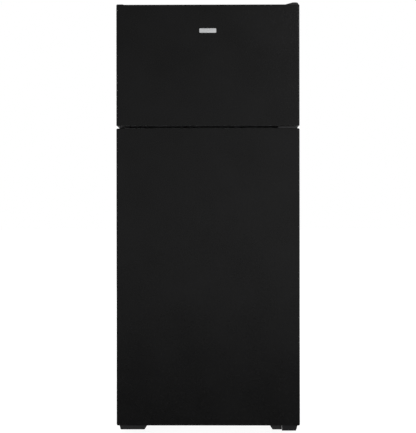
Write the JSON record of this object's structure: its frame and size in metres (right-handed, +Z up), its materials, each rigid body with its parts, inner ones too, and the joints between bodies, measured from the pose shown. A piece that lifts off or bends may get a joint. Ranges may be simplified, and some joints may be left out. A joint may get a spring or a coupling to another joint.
{
  "type": "top freezer refrigerator",
  "caption": "Free-standing refrigerator with a hinged freezer door above a taller fresh-food door, levelling feet in front and rollers behind.",
  "frame": {"origin": "on the floor, under the middle of the object's box", "axes": "+Z up; the doors face -Y; +X to the right when facing the doors"},
  "size_m": [0.711, 0.765, 1.6884],
  "materials": {
    "black_paint": "satin",
    "black_plastic": "matte",
    "zinc_steel": "satin",
    "nameplate_metal": "satin",
    "white_plastic": "satin",
    "white_wire": "gloss",
    "clear_plastic": "gloss",
    "shelf_glass": "gloss",
    "lamp_glass": "satin",
    "foam": "matte",
    "gasket_rubber": "matte",
    "coil_aluminium": "satin",
    "copper": "satin",
    "dark_metal": "satin",
    "motor_metal": "satin",
    "heater_sheath": "satin",
    "dark_rubber": "matte"
  },
  "bodies": {
    "cabinet": {"outer_shell": "black_paint", "rear_panel": "zinc_steel", "base_pan": "zinc_steel", "cabinet_foam": "foam", "freezer_liner": "white_plastic", "fresh_food_liner": "white_plastic", "mullion_bar": "black_paint", "base_grille": "black_plastic", "top_hinge": "zinc_steel", "top_hinge_cover": "black_plastic", "middle_hinge": "dark_metal", "bottom_hinge": "dark_metal", "pins": "zinc_steel", "screws": "zinc_steel", "freezer_shelf": "white_wire", "evaporator_cover": "white_plastic", "evaporator_coil": "coil_aluminium", "fan_motors": "motor_metal", "defrost_heater": "heater_sheath", "drain_trough": "zinc_steel", "shelf_frames": "white_plastic", "shelf_glass": "shelf_glass", "control_housing": "white_plastic", "light_shield": "lamp_glass", "lamp": "lamp_glass", "light_switch": "white_plastic", "air_duct": "white_plastic", "compressor": "dark_metal", "condenser_coil": "dark_metal", "fan_shroud": "black_plastic", "drain_pan": "black_plastic", "rear_cover": "black_plastic", "refrigerant_lines": "copper", "cord_gland": "black_plastic"},
    "freezer_door": {"freezer_door_skin": "black_paint", "freezer_door_trim": "black_plastic", "freezer_door_foam": "foam", "freezer_door_liner": "white_plastic", "freezer_door_gasket": "gasket_rubber", "freezer_door_bins": "white_plastic", "nameplate": "nameplate_metal"},
    "fresh_food_door": {"fresh_door_skin": "black_paint", "fresh_door_trim": "black_plastic", "fresh_door_foam": "foam", "fresh_door_liner": "white_plastic", "fresh_door_gasket": "gasket_rubber", "fresh_door_bins": "clear_plastic"},
    "dairy_flap": {"dairy_flap": "clear_plastic"},
    "left_crisper": {"left_crisper": "clear_plastic"},
    "right_crisper": {"right_crisper": "clear_plastic"},
    "temperature_knob": {"temperature_knob": "white_plastic"},
    "freezer_knob": {"freezer_knob": "white_plastic"},
    "air_damper": {"air_damper": "white_plastic"},
    "switch_plunger": {"switch_plunger": "white_plastic"},
    "evaporator_fan": {"evaporator_fan": "white_plastic"},
    "condenser_fan": {"condenser_fan": "dark_rubber"},
    "left_foot": {"left_foot": "dark_rubber"},
    "right_foot": {"right_foot": "dark_rubber"},
    "left_roller": {"left_roller": "dark_rubber"},
    "right_roller": {"right_roller": "dark_rubber"}
  },
  "joints": [
    {"name": "freezer_door_hinge", "type": "hinge", "parent": "cabinet", "child": "freezer_door", "pos_m": [0.3395, -0.3505, 1.442], "axis": [0, 0, 1], "range_deg": [0, 130]},
    {"name": "fresh_food_door_hinge", "type": "hinge", "parent": "cabinet", "child": "fresh_food_door", "pos_m": [0.3395, -0.3505, 0.622], "axis": [0, 0, 1], "range_deg": [0, 130]},
    {"name": "dairy_flap_hinge", "type": "hinge", "parent": "fresh_food_door", "child": "dairy_flap", "pos_m": [-0.136, -0.2315, 1.1365], "axis": [1, 0, 0], "range_deg": [0, 85]},
    {"name": "left_crisper_slide", "type": "slide", "parent": "cabinet", "child": "left_crisper", "axis": [0, -1, 0], "range_m": [0, 0.064]},
    {"name": "right_crisper_slide", "type": "slide", "parent": "cabinet", "child": "right_crisper", "axis": [0, -1, 0], "range_m": [0, 0.064]},
    {"name": "temperature_knob_turn", "type": "hinge", "parent": "cabinet", "child": "temperature_knob", "pos_m": [0.075, -0.08, 1.1445], "axis": [0, -1, 0], "range_deg": [-135, 135]},
    {"name": "freezer_knob_turn", "type": "hinge", "parent": "cabinet", "child": "freezer_knob", "pos_m": [-0.075, -0.08, 1.1445], "axis": [0, -1, 0], "range_deg": [-135, 135]},
    {"name": "air_damper_turn", "type": "hinge", "parent": "cabinet", "child": "air_damper", "pos_m": [0, 0.271, 1.2025], "axis": [1, 0, 0], "range_deg": [-40, 40]},
    {"name": "light_switch_press", "type": "slide", "parent": "cabinet", "child": "switch_plunger", "axis": [0, 1, 0], "range_m": [0, 0.005], "stiffness_N_per_m": 60, "springref_m": -0.004},
    {"name": "evaporator_fan_spin", "type": "hinge", "parent": "cabinet", "child": "evaporator_fan", "pos_m": [0, 0.21, 1.5305], "axis": [0, 1, 0], "continuous": true},
    {"name": "condenser_fan_spin", "type": "hinge", "parent": "cabinet", "child": "condenser_fan", "pos_m": [0.062, 0.271, 0.15], "axis": [1, 0, 0], "continuous": true},
    {"name": "left_foot_turn", "type": "hinge", "parent": "cabinet", "child": "left_foot", "pos_m": [-0.3195, -0.2655, 0.02], "axis": [0, 0, 1], "continuous": true},
    {"name": "right_foot_turn", "type": "hinge", "parent": "cabinet", "child": "right_foot", "pos_m": [0.3195, -0.2885, 0.02], "axis": [0, 0, 1], "continuous": true},
    {"name": "left_roller_spin", "type": "hinge", "parent": "cabinet", "child": "left_roller", "pos_m": [-0.3255, 0.3298, 0.021], "axis": [1, 0, 0], "continuous": true},
    {"name": "right_roller_spin", "type": "hinge", "parent": "cabinet", "child": "right_roller", "pos_m": [0.3255, 0.3298, 0.021], "axis": [1, 0, 0], "continuous": true}
  ],
  "couplings": [
    {"joint": "air_damper_turn", "follows": "freezer_knob_turn", "ratio": 0.2222}
  ]
}
